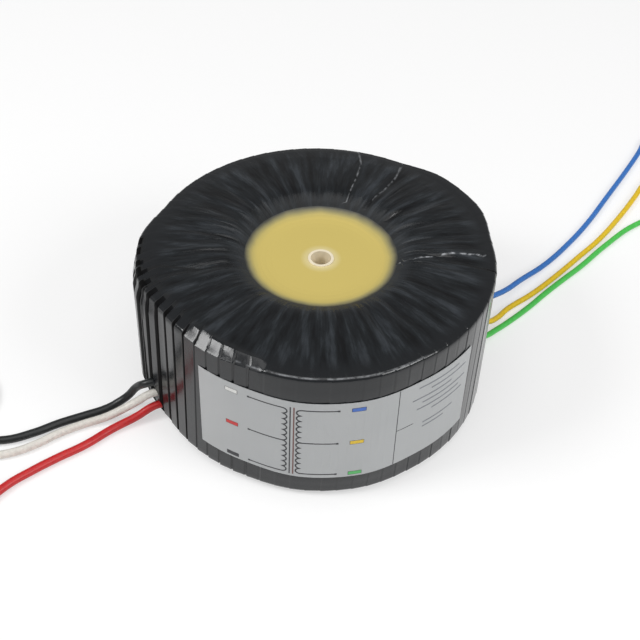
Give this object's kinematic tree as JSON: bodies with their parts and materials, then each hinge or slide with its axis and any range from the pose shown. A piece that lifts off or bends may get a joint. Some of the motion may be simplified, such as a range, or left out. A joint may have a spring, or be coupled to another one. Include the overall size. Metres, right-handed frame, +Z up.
{
  "type": "toroidal transformer",
  "caption": "Toroidal audio output transformer with a resin-filled centre, lapped dark tape and flexible colour-coded leads.",
  "frame": {"origin": "on the axis of the mounting hole, in the plane that the part stands on", "axes": "+Z up along the mounting hole; the label faces -Y; the heavy leads leave near -X and the light leads near +X"},
  "size_m": [0.3159, 0.2759, 0.0553],
  "materials": {
    "core_steel": "satin",
    "copper_winding": "gloss",
    "polyester_insulation": "matte",
    "splice_pad": "matte",
    "shrink_sleeve": "matte",
    "outer_tape": "gloss",
    "potting_resin": "gloss",
    "hole_sleeve": "gloss",
    "label_film": "satin",
    "black_wire": "satin",
    "white_wire": "satin",
    "red_wire": "satin",
    "blue_wire": "satin",
    "yellow_wire": "satin",
    "green_wire": "satin",
    "tinned_copper": "satin"
  },
  "bodies": {
    "root": {"core": "core_steel", "core_insulation": "polyester_insulation", "primary_winding": "copper_winding", "winding_insulation": "polyester_insulation", "secondary_winding": "copper_winding", "top_insulation": "polyester_insulation", "primary_splice_pad": "splice_pad", "secondary_splice_pad": "splice_pad", "black_splice": "shrink_sleeve", "white_splice": "shrink_sleeve", "red_splice": "shrink_sleeve", "blue_splice": "shrink_sleeve", "yellow_splice": "shrink_sleeve", "green_splice": "shrink_sleeve", "outer_tape": "outer_tape", "resin_plug": "potting_resin", "mounting_sleeve": "hole_sleeve", "label": "label_film", "black_lead": "black_wire", "black_coil": "black_wire", "black_tip": "tinned_copper", "white_lead": "white_wire", "white_coil": "white_wire", "white_tip": "tinned_copper", "red_lead": "red_wire", "red_coil": "red_wire", "red_tip": "tinned_copper", "blue_lead": "blue_wire", "blue_coil": "blue_wire", "blue_tip": "tinned_copper", "yellow_lead": "yellow_wire", "yellow_coil": "yellow_wire", "yellow_tip": "tinned_copper", "green_lead": "green_wire", "green_coil": "green_wire", "green_tip": "tinned_copper"}
  },
  "joints": []
}
